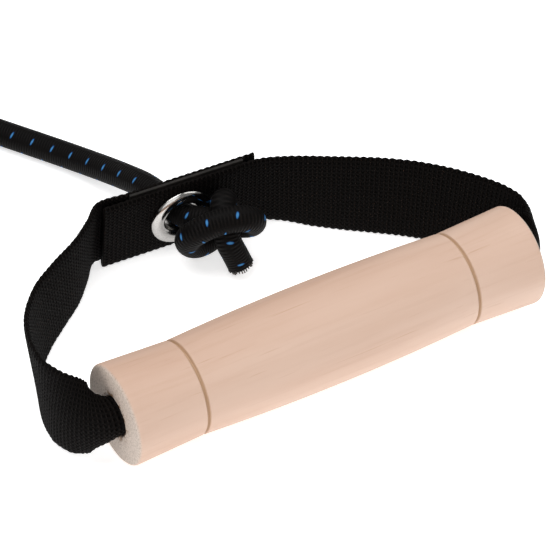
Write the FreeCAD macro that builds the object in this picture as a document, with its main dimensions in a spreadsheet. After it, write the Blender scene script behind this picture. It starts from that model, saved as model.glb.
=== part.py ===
import FreeCAD, Part
import math
import os
import Sketcher

# Pull handle: a turned wooden grip on a webbing loop.  The two ends of the webbing lap behind the
# grip, clamped by a metal eyelet, and an elastic cord goes through the eyelet to a stopper knot.
# +X runs along the grip, +Y from the grip to the lap, +Z up.  Everything rests on z = 0.

Vector = FreeCAD.Vector
doc = FreeCAD.newDocument("PullHandle")

SIZES = (
    ("grip_length", 132.0, "wooden grip, end to end"),
    ("end_radius", 14.9, "grip radius at its ends"),
    ("waist_radius", 13.95, "grip radius at the two turned lines"),
    ("middle_radius", 15.15, "grip radius in the middle of the barrel"),
    ("groove_offset", 44.0, "from the middle of the grip to each turned line"),
    ("groove_width", 1.6, "turned line, across"),
    ("groove_depth", 0.8, "turned line, deep"),
    ("edge_round", 1.1, "rounding of the grip's outer end edges"),
    ("bore_radius", 6.0, "hole through the grip"),
    ("mouth_round", 0.7, "rounding where the hole meets the end face"),
    ("grip_x", 2.39, "grip middle from the frame origin, along X"),
    ("grip_y", -29.81, "grip axis from the frame origin, along Y"),
    ("web_width", 25.0, "webbing width"),
    ("web_thickness", 1.8, "webbing thickness"),
    ("fold_radius", 4.7, "middle of the webbing where it is curled inside the hole"),
    ("lap_y", 68.85, "front bottom edge of the lap behind the grip axis"),
    ("lap_lift", 0.2, "bottom edge of the lap above the ground"),
    ("lap_tilt", 8.0, "the lap leans its top towards the grip, degrees"),
    ("lap_turn", -3.5, "the lap turns about the vertical, degrees"),
    ("front_left", 25.4, "front layer's cut end, left of the eyelet"),
    ("front_right", 17.2, "front layer's flat part, right of the eyelet"),
    ("back_left", 25.9, "back layer's flat part, left of the eyelet"),
    ("back_right", 25.3, "back layer's cut end, right of the eyelet"),
    ("corner_round", 2.2, "rounded corners of the cut webbing ends"),
    ("stiffener_left", 16.0, "stiffener plate, left of the eyelet"),
    ("stiffener_right", 20.4, "stiffener plate, right of the eyelet"),
    ("stiffener_thickness", 0.8, "stiffener plate between the webbing layers"),
    ("stiffener_height", 25.4, "stiffener plate, a little taller than the webbing"),
    ("eyelet_x", -7.15, "eyelet from the middle of the grip, along X"),
    ("eyelet_height", 12.2, "eyelet centre above the lap's bottom edge"),
    ("eyelet_radius", 10.0, "eyelet flange, outside"),
    ("eyelet_hole", 5.1, "eyelet hole radius"),
    ("eyelet_wall", 0.6, "wall of the eyelet barrel"),
    ("flange_rise", 1.7, "height of the domed flange"),
    ("flange_back", 1.3, "height of the rolled barrel end on the back"),
    ("washer_radius", 9.6, "back washer, outside"),
    ("washer_thickness", 0.8, "back washer"),
    ("cord_radius", 4.0, "elastic cord"),
    ("core_radius", 2.6, "bundle of rubber strands inside the cord"),
    ("coil_middle", 42.0, "middle of the coil's turns from its centre"),
    ("coil_lift", 1.0, "coil above the ground, on its tie"),
    ("tie_thickness", 0.7, "tie round the coil"),
    ("tie_width", 8.0, "tie along the coil"),
)

sheet = doc.addObject("Spreadsheet::Sheet", "Sizes")
for row, (alias, value, note) in enumerate(SIZES, start=1):
    sheet.set(f"A{row}", note)
    sheet.set(f"B{row}", str(value))
    sheet.setAlias(f"B{row}", alias)
doc.recompute()


def cell(alias):
    """one driving size, read from the sheet"""
    return float(getattr(sheet, alias))


HALF_GRIP = cell("grip_length") / 2
AXIS_Z = cell("middle_radius")
GRIP_AT = Vector(cell("grip_x"), cell("grip_y"), 0)
WIDTH = cell("web_width")
THICK = cell("web_thickness")
CORD = cell("cord_radius")


def from_grip(x, y, z):
    """a point given from the foot of the grip's middle, in the frame"""
    return GRIP_AT + Vector(x, y, z)


# The lap's own frame: u along the webbing, depth away from the grip, height up its leaning face.
LAP = FreeCAD.Placement(
    from_grip(cell("eyelet_x"), cell("lap_y"), cell("lap_lift")),
    FreeCAD.Rotation(cell("lap_turn"), 0, cell("lap_tilt")),
)
LAP_DEPTH = 2 * THICK + cell("stiffener_thickness")


# ---------------------------------------------------------------- helpers

def new_body(label):
    """an empty body whose label names its file"""
    body = doc.addObject("PartDesign::Body", label)
    body.Label = label
    return body


def new_sketch(body, name, role):
    """a sketch flat on one of the body's own origin planes"""
    sketch = body.newObject("Sketcher::SketchObject", name)
    plane = [item for item in body.Origin.OriginFeatures if item.Role == role][0]
    sketch.AttachmentSupport = (plane, [""])
    sketch.MapMode = "FlatFace"
    return sketch


def bind_point(sketch, geometry, end, across, up):
    """holds one end of a line or arc at two sheet expressions"""
    drawn = sketch.getPoint(geometry, end)
    for kind, value, expression in (("DistanceX", drawn.x, across), ("DistanceY", drawn.y, up)):
        index = sketch.addConstraint(Sketcher.Constraint(kind, -1, 1, geometry, end, value))
        sketch.setExpression(f"Constraints[{index}]", expression)


def closed_outline(sketch, corners):
    """straight lines through corners, each held at two sheet expressions, on the XZ plane"""
    count = len(corners)
    start = [Vector(math.cos(2 * math.pi * i / count), math.sin(2 * math.pi * i / count), 0) * 10
             for i in range(count)]
    for i in range(count):
        sketch.addGeometry(Part.LineSegment(start[i], start[(i + 1) % count]), False)
    for i in range(count):
        sketch.addConstraint(Sketcher.Constraint("Coincident", i, 2, (i + 1) % count, 1))
    for i, (across, up) in enumerate(corners):
        bind_point(sketch, i, 1, across, up)


def revolve(body, sketch, name):
    """turns a sketch once round its own horizontal axis"""
    feature = body.newObject("PartDesign::Revolution", name)
    feature.Profile = sketch
    feature.ReferenceAxis = (sketch, ["H_Axis"])
    feature.Angle = 360
    return feature


def edges_where(shape, test):
    """names of the edges that pass a test"""
    return [f"Edge{i}" for i, edge in enumerate(shape.Edges, start=1) if test(edge)]


def solid_feature(label, shape):
    """a sub-part whose shape is worked out in code"""
    feature = doc.addObject("Part::Feature", label)
    feature.Label = label
    feature.Shape = shape
    return feature


# ---------------------------------------------------------------- wooden grip

def make_grip():
    """one turning: flared ends, a barrel between two turned lines, a hole along its axis"""
    body = new_body("wooden_grip")
    sketch = new_sketch(body, "grip_profile", "XZ_Plane")
    half = HALF_GRIP
    waist = cell("groove_offset")
    rise = cell("middle_radius") - cell("waist_radius")
    corners = (
        ("-Sizes.grip_length / 2", "Sizes.bore_radius"),
        ("-Sizes.grip_length / 2", "Sizes.end_radius"),
        ("-Sizes.groove_offset", "Sizes.waist_radius"),
        ("Sizes.groove_offset", "Sizes.waist_radius"),
        ("Sizes.grip_length / 2", "Sizes.end_radius"),
        ("Sizes.grip_length / 2", "Sizes.bore_radius"),
    )
    places = [Vector(-half, cell("bore_radius"), 0), Vector(-half, cell("end_radius"), 0),
              Vector(-waist, cell("waist_radius"), 0), Vector(waist, cell("waist_radius"), 0),
              Vector(half, cell("end_radius"), 0), Vector(half, cell("bore_radius"), 0)]
    barrel = (waist ** 2 + rise ** 2) / (2 * rise)
    sweep = math.asin(waist / barrel)
    circle = Part.Circle(Vector(0, cell("middle_radius") - barrel, 0), Vector(0, 0, 1), barrel)
    for i in range(6):
        if i == 2:
            arc = Part.ArcOfCircle(circle, math.pi / 2 - sweep, math.pi / 2 + sweep)
            sketch.addGeometry(arc, False)
        else:
            sketch.addGeometry(Part.LineSegment(places[i], places[(i + 1) % 6]), False)
    # The arc runs anticlockwise, against the outline, so its ends are swapped.
    ends = {i: (1, 2) for i in range(6)}
    ends[2] = (2, 1)
    for i in range(6):
        sketch.addConstraint(
            Sketcher.Constraint("Coincident", i, ends[i][1], (i + 1) % 6, ends[(i + 1) % 6][0]))
    for i, (across, up) in enumerate(corners):
        bind_point(sketch, i, ends[i][0], across, up)
    index = sketch.addConstraint(Sketcher.Constraint("Radius", 2, barrel))
    swell = "(Sizes.middle_radius - Sizes.waist_radius)"
    sketch.setExpression(f"Constraints[{index}]", f"(Sizes.groove_offset ^ 2 + {swell} ^ 2) / (2 * {swell})")
    turned = revolve(body, sketch, "grip_turning")
    doc.recompute()

    line = new_sketch(body, "turned_line", "XZ_Plane")
    closed_outline(line, (
        ("Sizes.groove_offset - Sizes.groove_width / 2", "Sizes.end_radius"),
        ("Sizes.groove_offset - Sizes.groove_width / 4", "Sizes.waist_radius - Sizes.groove_depth"),
        ("Sizes.groove_offset + Sizes.groove_width / 4", "Sizes.waist_radius - Sizes.groove_depth"),
        ("Sizes.groove_offset + Sizes.groove_width / 2", "Sizes.end_radius"),
    ))
    groove = body.newObject("PartDesign::Groove", "turned_line_cut")
    groove.Profile = line
    groove.ReferenceAxis = (line, ["H_Axis"])
    groove.Angle = 360
    doc.recompute()
    mirror = body.newObject("PartDesign::Mirrored", "turned_lines")
    mirror.Originals = [groove]
    mirror.MirrorPlane = (line, ["V_Axis"])
    body.Tip = mirror
    doc.recompute()

    def rim(radius):
        return lambda edge: (edge.Curve.TypeId == "Part::GeomCircle" and abs(edge.Curve.Radius - radius) < 0.01
                             and abs(abs(edge.CenterOfMass.x) - half) < 0.01)

    outer = body.newObject("PartDesign::Fillet", "outer_edges")
    outer.Base = (mirror, edges_where(mirror.Shape, rim(cell("end_radius"))))
    outer.setExpression("Radius", "Sizes.edge_round")
    doc.recompute()
    inner = body.newObject("PartDesign::Fillet", "hole_mouths")
    inner.Base = (outer, edges_where(outer.Shape, rim(cell("bore_radius"))))
    inner.setExpression("Radius", "Sizes.mouth_round")
    body.Tip = inner
    body.Placement = FreeCAD.Placement(from_grip(0, 0, AXIS_Z), FreeCAD.Rotation())
    doc.recompute()
    print("turned lines cut", round(turned.Shape.Volume - mirror.Shape.Volume, 1), "mm3")
    return body


# ---------------------------------------------------------------- flat pieces of the lap

def make_lap_plate(label, left, right, height, depth, round_side):
    """a flat layer of the lap, with the eyelet's hole and, on a cut end, two rounded corners"""
    body = new_body(label)
    sketch = new_sketch(body, label + "_outline", "XZ_Plane")
    closed_outline(sketch, ((f"-{left}", "0"), (right, "0"), (right, height), (f"-{left}", height)))
    hole = sketch.addGeometry(Part.Circle(Vector(0, 12, 0), Vector(0, 0, 1), 5), False)
    bind_point(sketch, hole, 3, "0", "Sizes.eyelet_height")
    index = sketch.addConstraint(Sketcher.Constraint("Radius", hole, 5.0))
    sketch.setExpression(f"Constraints[{index}]", "Sizes.eyelet_hole + Sizes.eyelet_wall")
    pad = body.newObject("PartDesign::Pad", label + "_layer")
    pad.Profile = sketch
    pad.Reversed = True
    pad.setExpression("Length", depth)
    doc.recompute()
    body.Tip = pad
    if round_side:
        edge_x = max(vertex.X * round_side for vertex in pad.Shape.Vertexes) * round_side
        corners = edges_where(pad.Shape, lambda edge: abs(edge.CenterOfMass.x - edge_x) < 0.01
                              and edge.BoundBox.YLength > edge.BoundBox.ZLength + 0.1)
        fillet = body.newObject("PartDesign::Fillet", label + "_corners")
        fillet.Base = (pad, corners)
        fillet.setExpression("Radius", "Sizes.corner_round")
        body.Tip = fillet
    doc.recompute()
    return body


def at_depth(body, depth):
    """sets a piece of the lap at its depth behind the front face"""
    body.Placement = LAP.multiply(FreeCAD.Placement(Vector(0, depth, 0), FreeCAD.Rotation()))


# ---------------------------------------------------------------- eyelet

def make_eyelet():
    """a barrel with a domed flange in front and its end rolled over the washer at the back"""
    body = new_body("eyelet_barrel")
    sketch = new_sketch(body, "eyelet_profile", "XY_Plane")
    depth = "(2 * Sizes.web_thickness + Sizes.stiffener_thickness)"
    hole = "Sizes.eyelet_hole"
    barrel = "(Sizes.eyelet_hole + Sizes.eyelet_wall)"
    rim = "Sizes.eyelet_radius"
    closed_outline(sketch, (
        (f"{depth} + Sizes.flange_back", f"{hole} + 0.4"),
        (f"{depth} + Sizes.flange_back", f"{barrel} + 0.7"),
        (f"{depth} + Sizes.washer_thickness", f"{barrel} + 1.1"),
        (f"{depth} + Sizes.washer_thickness", barrel),
        ("0", barrel),
        ("0", rim),
        ("-Sizes.flange_rise * 0.35", rim),
        ("-Sizes.flange_rise * 0.85", f"{rim} - 1.3"),
        ("-Sizes.flange_rise", f"{rim} - 2.6"),
        ("-Sizes.flange_rise * 0.85", f"{hole} + 0.9"),
        ("-Sizes.flange_rise * 0.3", f"{hole} + 0.15"),
        ("Sizes.flange_rise * 0.4", hole),
        (f"{depth} + Sizes.flange_back * 0.4", hole),
    ))
    feature = revolve(body, sketch, "eyelet_turning")
    body.Tip = feature
    doc.recompute()
    return body


def make_washer():
    """the flat ring that the eyelet's barrel is rolled over"""
    body = new_body("eyelet_washer")
    sketch = new_sketch(body, "washer_profile", "XY_Plane")
    barrel = "(Sizes.eyelet_hole + Sizes.eyelet_wall)"
    closed_outline(sketch, (
        ("0", barrel),
        ("Sizes.washer_thickness", barrel),
        ("Sizes.washer_thickness", "Sizes.washer_radius - 0.5"),
        ("Sizes.washer_thickness / 2", "Sizes.washer_radius"),
        ("0", "Sizes.washer_radius"),
    ))
    feature = revolve(body, sketch, "washer_turning")
    body.Tip = feature
    doc.recompute()
    return body


def on_eyelet_axis(body, depth):
    """turns a piece revolved about X onto the eyelet's axis, at its depth in the lap"""
    quarter = FreeCAD.Rotation(Vector(0, 0, 1), 90)
    body.Placement = LAP.multiply(FreeCAD.Placement(Vector(0, depth, cell("eyelet_height")), quarter))


# ---------------------------------------------------------------- webbing that bends

LEAD_IN = 5.0


def web_faces(place, heading, side, lean, curl):
    """points across the webbing's outer and inner face: an arc of its width, curled inwards"""
    up = Vector(0, 0, 1)
    outward = Vector(-heading.y, heading.x, 0) * side
    angle = math.radians(lean)
    rise = up * math.cos(angle) + outward * math.sin(angle)
    out = outward * math.cos(angle) - up * math.sin(angle)
    bend = max(curl, 0.001) / cell("fold_radius")
    outer, inner = [], []
    for step in range(-5, 6):
        turn = bend * WIDTH * step / 10
        middle = place + rise * (math.sin(turn) / bend) - out * ((1 - math.cos(turn)) / bend)
        normal = out * math.cos(turn) + rise * math.sin(turn)
        outer.append(middle + normal * (THICK / 2))
        inner.append(middle - normal * (THICK / 2))
    return outer, inner


def web_section(outer, inner):
    """a closed wire round the webbing's cross-section"""
    curves = []
    for points in (outer, inner[::-1]):
        curve = Part.BSplineCurve()
        curve.interpolate(points)
        curves.append(curve.toShape())
    return Part.Wire([curves[0], Part.makeLine(outer[-1], inner[-1]),
                      curves[1], Part.makeLine(inner[0], outer[0])])


def make_web_side(label, side, stations, lap_depth, lap_u):
    """the webbing from the hole's mouth round the end of the grip to the lap"""
    start = from_grip(-side * HALF_GRIP, -cell("fold_radius"), AXIS_Z)
    finish = LAP.multVec(Vector(lap_u, lap_depth, WIDTH / 2))
    places = [start] + [from_grip(x, y, z) for x, y, z, lean, curl in stations] + [finish]
    leans = [0.0] + [lean for x, y, z, lean, curl in stations] + [-cell("lap_tilt")]
    curls = [1.0] + [curl for x, y, z, lean, curl in stations] + [0.0]
    # One more point inside the hole and one along the lap lead the route straight into both.
    in_hole = start + Vector(side * LEAD_IN, 0, 0)
    on_lap = finish + LAP.Rotation.multVec(Vector(side * LEAD_IN, 0, 0))
    route = Part.BSplineCurve()
    route.interpolate([in_hole] + places + [on_lap])
    at = [route.parameter(place) for place in places]
    sections = []
    for i in range(len(places) - 1):
        steps = 2 if i < len(places) - 2 else 3
        for step in range(steps):
            share = step / 2
            spot = at[i] + (at[i + 1] - at[i]) * share
            lean = leans[i] + (leans[i + 1] - leans[i]) * share
            curl = curls[i] + (curls[i + 1] - curls[i]) * share
            # Curled webbing keeps facing the hole, so that its edges don't swing back into the wood.
            tangent = route.tangent(spot)[0]
            tangent.z = 0
            facing = min(1.0, 1.5 * curl)
            heading = tangent.normalize() * (1 - facing) + Vector(-side, 0, 0) * facing
            heading.normalize()
            if spot == at[-1]:
                heading = LAP.Rotation.multVec(Vector(side, 0, 0))
            sections.append(web_section(*web_faces(route.value(spot), heading, side, lean, curl)))
    solid = Part.makeLoft(sections, True, True)
    length = route.length(at[0], at[-1])
    ratio = solid.Volume / (length * WIDTH * THICK)
    print(label, "length", round(length, 1), "volume over ideal", round(ratio, 3))
    return solid_feature(label, solid)


def make_inner_run():
    """the webbing inside the hole, curled into a channel that is open towards the lap"""
    outer, inner = web_faces(
        from_grip(-HALF_GRIP, -cell("fold_radius"), AXIS_Z), Vector(-1, 0, 0), 1, 0.0, 1.0)
    shape = Part.Face(web_section(outer, inner)).extrude(Vector(cell("grip_length"), 0, 0))
    return solid_feature("strap_inner_run", shape)


# x, y, z from the grip's foot; lean of the top outwards in degrees; curl from 0 flat to 1 as in the hole
LEFT_STATIONS = (
    (-70.2, -3.8, 15.0, -5, 0.62),
    (-73.9, -0.1, 14.7, -12, 0.34),
    (-76.5, 5.6, 14.2, -12, 0.16),
    (-77.6, 12.2, 13.6, -7, 0.05),
    (-77.3, 20.4, 13.1, 1, 0.0),
    (-75.0, 29.0, 12.9, 6, 0.0),
    (-71.0, 38.5, 12.8, 6, 0.0),
    (-63.6, 47.2, 12.8, 6, 0.0),
    (-54.6, 54.0, 12.8, 3, 0.0),
    (-45.8, 60.0, 12.8, -1, 0.0),
    (-38.8, 66.5, 12.8, -5, 0.0),
)
RIGHT_STATIONS = (
    (69.9, -3.6, 15.0, 0, 0.62),
    (72.3, -0.4, 14.6, 3, 0.34),
    (73.2, 4.8, 14.0, 6, 0.16),
    (72.4, 11.2, 13.5, 9, 0.05),
    (69.9, 17.6, 13.1, 11, 0.0),
    (66.0, 24.5, 12.9, 12, 0.0),
    (60.8, 31.8, 12.8, 12, 0.0),
    (54.2, 38.8, 12.8, 12, 0.0),
    (46.5, 45.2, 12.8, 11, 0.0),
    (38.6, 51.0, 12.8, 8, 0.0),
    (31.2, 56.6, 12.8, 4, 0.0),
    (24.6, 61.8, 12.8, -2, 0.0),
    (17.6, 65.6, 12.8, -6, 0.0),
)


# ---------------------------------------------------------------- elastic cord

EYELET = LAP.multVec(Vector(0, LAP_DEPTH / 2, cell("eyelet_height")))
CORD_AXIS = Vector(-0.07, 0.995, -0.01)
CORD_AXIS.normalize()

# The knot stands in front of the eyelet and the coil lies behind the loop, to the left.
KNOT = from_grip(-0.9, 55.2, 13.2)
TAIL_START = KNOT + Vector(1.3, -3.0, -4.0)
TAIL_AXIS = Vector(0.15, -0.59, -0.79)
TAIL_AXIS.normalize()
TAIL_LENGTH = 7.8
TAIL_END = TAIL_START + TAIL_AXIS * TAIL_LENGTH
CORE_DEPTH = 5.0
COIL = from_grip(-90.5, 145.8, 0)
TURN = cell("coil_middle") + CORD
LEAD_ANGLE = math.radians(36)
COIL_FOOT = Vector(COIL.x, COIL.y, cell("coil_lift") + CORD)
INTO_COIL = COIL_FOOT + Vector(math.cos(LEAD_ANGLE), math.sin(LEAD_ANGLE), 0) * TURN
LEAD_HEADING = Vector(-math.sin(LEAD_ANGLE), math.cos(LEAD_ANGLE), 0)

LEAD_ROUTE = (
    EYELET - CORD_AXIS * 7.5,
    EYELET + CORD_AXIS * 11.5,
    from_grip(-11.4, 96.9, 8.4),
    from_grip(-16.1, 112.2, 4.9),
    from_grip(-24.0, 126.4, 4.3),
    from_grip(-33.4, 141.4, 4.3),
    INTO_COIL - LEAD_HEADING * 14.0,
    INTO_COIL,
)


def tube(route, radius, label):
    """straight runs joined by tangent arcs, each as large as its two runs allow"""
    edges = []
    last = route[0]
    radii = []
    for before, corner, after in zip(route, route[1:], route[2:]):
        back = before - corner
        on = after - corner
        turn = math.pi - back.getAngle(on)
        trim = 0.45 * min(back.Length, on.Length)
        bend = trim / math.tan(turn / 2)
        into = corner + back.normalize() * trim
        out = corner + on.normalize() * trim
        toward = (back + on).normalize()
        middle = corner + toward * (bend / math.cos(turn / 2) - bend)
        edges += [Part.LineSegment(last, into).toShape(), Part.Arc(into, middle, out).toShape()]
        last = out
        radii.append(round(bend))
    edges.append(Part.LineSegment(last, route[-1]).toShape())
    path = Part.Wire(edges)
    profile = Part.Wire([Part.Circle(route[0], route[1] - route[0], radius).toShape()])
    shape = path.makePipeShell([profile], True, False)
    ideal = math.pi * radius ** 2 * path.Length
    runs = [round((b - a).Length, 1) for a, b in zip(route, route[1:])]
    print(label, "radii", radii, "runs", runs, "length", round(path.Length, 1),
          "volume over ideal", round(shape.Volume / ideal, 4))
    return shape


def lobe(centre, half, turn):
    """a ball stretched to three half sizes and turned about the vertical"""
    ball = Part.makeSphere(1.0)
    matrix = FreeCAD.Matrix()
    matrix.scale(half[0], half[1], half[2])
    shape = ball.transformGeometry(matrix)
    shape.Placement = FreeCAD.Placement(centre, FreeCAD.Rotation(turn, 0, 0))
    return shape


def make_front_knot():
    """the outer shape of the stopper knot, with its short tail lying forwards"""
    body = lobe(KNOT, (13.6, 8.8, 10.2), -12)
    tail = Part.makeCylinder(CORD, TAIL_LENGTH, TAIL_START, TAIL_AXIS)
    bore = Part.makeCylinder(cell("core_radius"), CORE_DEPTH, TAIL_END - TAIL_AXIS * CORE_DEPTH, TAIL_AXIS)
    return solid_feature("front_knot", body.fuse(tail).removeSplitter().cut(bore))


def make_tail_core():
    """the cut rubber strands that fill the end of the tail"""
    start = TAIL_END - TAIL_AXIS * CORE_DEPTH
    core = Part.makeCylinder(cell("core_radius"), CORE_DEPTH - 0.6, start, TAIL_AXIS)
    return solid_feature("tail_core", core)


def make_coil():
    """the outer shape of the wound turns, two on two"""
    body = new_body("cord_coil")
    sketch = new_sketch(body, "coil_section", "XZ_Plane")
    closed_outline(sketch, (
        ("Sizes.coil_middle - 2 * Sizes.cord_radius", "Sizes.coil_lift"),
        ("Sizes.coil_middle + 2 * Sizes.cord_radius", "Sizes.coil_lift"),
        ("Sizes.coil_middle + 2 * Sizes.cord_radius", "Sizes.coil_lift + 4 * Sizes.cord_radius"),
        ("Sizes.coil_middle - 2 * Sizes.cord_radius", "Sizes.coil_lift + 4 * Sizes.cord_radius"),
    ))
    ring = body.newObject("PartDesign::Revolution", "coil_ring")
    ring.Profile = sketch
    ring.ReferenceAxis = (sketch, ["V_Axis"])
    ring.Angle = 360
    doc.recompute()
    fillet = body.newObject("PartDesign::Fillet", "coil_rounding")
    fillet.Base = (ring, edges_where(ring.Shape, lambda edge: edge.Curve.TypeId == "Part::GeomCircle"))
    fillet.setExpression("Radius", "Sizes.cord_radius * 0.9")
    body.Tip = fillet
    body.Placement = FreeCAD.Placement(COIL, FreeCAD.Rotation())
    doc.recompute()
    return body


# The last turn leaves the coil's inside and ends in a second stopper knot, on the ground.
END_TURN = cell("coil_middle") - CORD
TIE_ANGLE = 120
END_ROUTE = tuple(
    COIL + Vector(math.cos(math.radians(a)) * r, math.sin(math.radians(a)) * r, z)
    for a, r, z in ((206, END_TURN, 5.0), (228, 34.5, 4.5), (256, 28.5, 4.3), (292, 21.5, 5.2), (338, 14.0, 8.2))
)
FAR_KNOT = COIL + Vector(12.9, 5.6, 10.2)


def make_tie():
    """a flat band once round the coil's section"""
    gap = cell("tie_thickness")
    inside = 4 * CORD
    outer = Part.makeBox(inside + 2 * gap, cell("tie_width"), inside + 2 * gap,
                         Vector(cell("coil_middle") - inside / 2 - gap, -cell("tie_width") / 2,
                                cell("coil_lift") - gap))
    vertical = [edge for edge in outer.Edges if edge.BoundBox.YLength > 1]
    outer = outer.makeFillet(CORD * 0.9 + gap, vertical)
    band = outer.cut(doc.getObject("cord_coil").Tip.Shape)
    feature = solid_feature("coil_tie", band)
    feature.Placement = FreeCAD.Placement(COIL, FreeCAD.Rotation(TIE_ANGLE, 0, 0))
    return feature


# ---------------------------------------------------------------- build everything

make_grip()
make_inner_run()
make_web_side("strap_left_side", 1, LEFT_STATIONS,
              1.5 * THICK + cell("stiffener_thickness"), -cell("back_left"))
make_web_side("strap_right_side", -1, RIGHT_STATIONS, THICK / 2, cell("front_right"))
front = make_lap_plate("strap_front_end", "Sizes.front_left", "Sizes.front_right",
                       "Sizes.web_width", "Sizes.web_thickness", -1)
plate = make_lap_plate("lap_stiffener", "Sizes.stiffener_left", "Sizes.stiffener_right",
                       "Sizes.stiffener_height", "Sizes.stiffener_thickness", 0)
back = make_lap_plate("strap_back_end", "Sizes.back_left", "Sizes.back_right",
                      "Sizes.web_width", "Sizes.web_thickness", 1)
at_depth(front, 0)
at_depth(plate, THICK)
at_depth(back, THICK + cell("stiffener_thickness"))
on_eyelet_axis(make_eyelet(), 0)
on_eyelet_axis(make_washer(), LAP_DEPTH)
solid_feature("cord_lead", tube(LEAD_ROUTE, CORD, "cord_lead"))
make_front_knot()
make_tail_core()
make_coil()
solid_feature("cord_end", tube(END_ROUTE, CORD, "cord_end"))
solid_feature("far_knot", lobe(FAR_KNOT, (13.6, 10.4, 10.0), -74))
make_tie()
doc.recompute()

# ---------------------------------------------------------------- checks and files

for item in doc.Objects:
    if "Invalid" in item.State or "Error" in item.State:
        raise RuntimeError(f"{item.Label} did not build: {item.State}")

os.makedirs("parts", exist_ok=True)
parts = [item for item in doc.Objects if item.TypeId in ("PartDesign::Body", "Part::Feature")]
parts = [item for item in parts if item.getParentGeoFeatureGroup() is None]
whole = FreeCAD.BoundBox()
CORD_LABELS = ("cord_lead", "front_knot", "tail_core", "cord_coil", "cord_end", "far_knot", "coil_tie")
for item in parts:
    shape = item.Shape
    if shape.isNull() or not shape.isValid() or not shape.Solids:
        raise RuntimeError(f"{item.Label} is not a valid solid")
    box = shape.optimalBoundingBox(False)
    if item.Label not in CORD_LABELS:
        whole.add(box)
    print(f"{item.Label:18s} {len(shape.Solids)} solid {shape.Volume:9.1f} mm3  "
          f"x {box.XMin:7.2f} {box.XMax:7.2f}  y {box.YMin:7.2f} {box.YMax:7.2f}  "
          f"z {box.ZMin:6.2f} {box.ZMax:6.2f}")
    shape.exportStep(f"parts/{item.Label}.step")
print("without the cord: centre", round(whole.Center.x, 3), round(whole.Center.y, 3),
      "size", round(whole.XLength, 2), round(whole.YLength, 2), round(whole.ZLength, 2))
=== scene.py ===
# %% [markdown]
# # A turned wooden pull handle on a webbing loop
# The object is a wooden grip that turns on a loop of black webbing.  The two ends of the webbing lap
# behind the grip and a nickel eyelet clamps them.  An elastic cord comes through the eyelet and a
# knot stops it.  The frame gives every size; this script gives each piece its surface and finish.

# %% load the frame
import bmesh
import bpy
import math
import numpy as np
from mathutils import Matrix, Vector


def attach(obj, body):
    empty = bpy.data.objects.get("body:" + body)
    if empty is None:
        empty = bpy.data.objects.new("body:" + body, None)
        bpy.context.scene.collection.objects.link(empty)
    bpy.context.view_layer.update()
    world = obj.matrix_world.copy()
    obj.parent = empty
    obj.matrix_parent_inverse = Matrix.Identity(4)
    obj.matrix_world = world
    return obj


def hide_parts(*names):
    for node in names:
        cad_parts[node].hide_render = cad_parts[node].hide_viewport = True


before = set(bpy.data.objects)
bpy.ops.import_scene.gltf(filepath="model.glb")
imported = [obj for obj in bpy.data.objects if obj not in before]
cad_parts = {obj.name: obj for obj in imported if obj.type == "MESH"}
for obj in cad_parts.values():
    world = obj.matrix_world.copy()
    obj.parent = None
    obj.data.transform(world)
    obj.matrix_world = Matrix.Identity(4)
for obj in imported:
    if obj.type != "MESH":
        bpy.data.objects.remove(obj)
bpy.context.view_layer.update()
print("frame loaded with", len(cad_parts), "nodes")

# %% [markdown]
# All places below are in metres, in the frame's own axes: +X along the grip, +Y towards the eyelet,
# +Z up.  The grip's foot is where the middle of the grip stands on the ground.

# %% places that several pieces share
GRIP_FOOT = np.array([0.00239, -0.02981, 0.0])
AXIS_HEIGHT = 0.01515
WEB_WIDTH = 0.025
WEB_THICK = 0.0018
CORD_RADIUS = 0.0040
LAP_TURN, LAP_TILT = math.radians(-3.5), math.radians(8.0)
EYELET_UP = 12.2  # millimetres from the lap's lower edge to the eyelet's axis


def from_grip(x, y, z):
    """a point given in millimetres from the grip's foot, in the frame"""
    return GRIP_FOOT + np.array([x, y, z]) / 1000


def unit(rows):
    """each row divided by its own length"""
    return rows / np.linalg.norm(rows, axis=-1, keepdims=True)


# The lap's axes: u along the webbing, n away from the grip, h up its leaning face.
LAP_U = np.array([math.cos(LAP_TURN), math.sin(LAP_TURN), 0.0])
LAP_FLAT = np.array([-math.sin(LAP_TURN), math.cos(LAP_TURN), 0.0])
LAP_N = LAP_FLAT * math.cos(LAP_TILT) + np.array([0, 0, math.sin(LAP_TILT)])
LAP_H = -LAP_FLAT * math.sin(LAP_TILT) + np.array([0, 0, math.cos(LAP_TILT)])
LAP_FOOT = from_grip(-7.15, 68.85, 0.2)


def on_lap(u, n, h):
    """a point given in millimetres along, behind and up the lap"""
    return LAP_FOOT + (LAP_U * u + LAP_N * n + LAP_H * h) / 1000


# %% [markdown]
# Every new surface here is a grid of points with two parameters.  One helper turns such a grid into
# a mesh, closes each row, and gives it a UV map in metres so that a weave can follow it.

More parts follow.
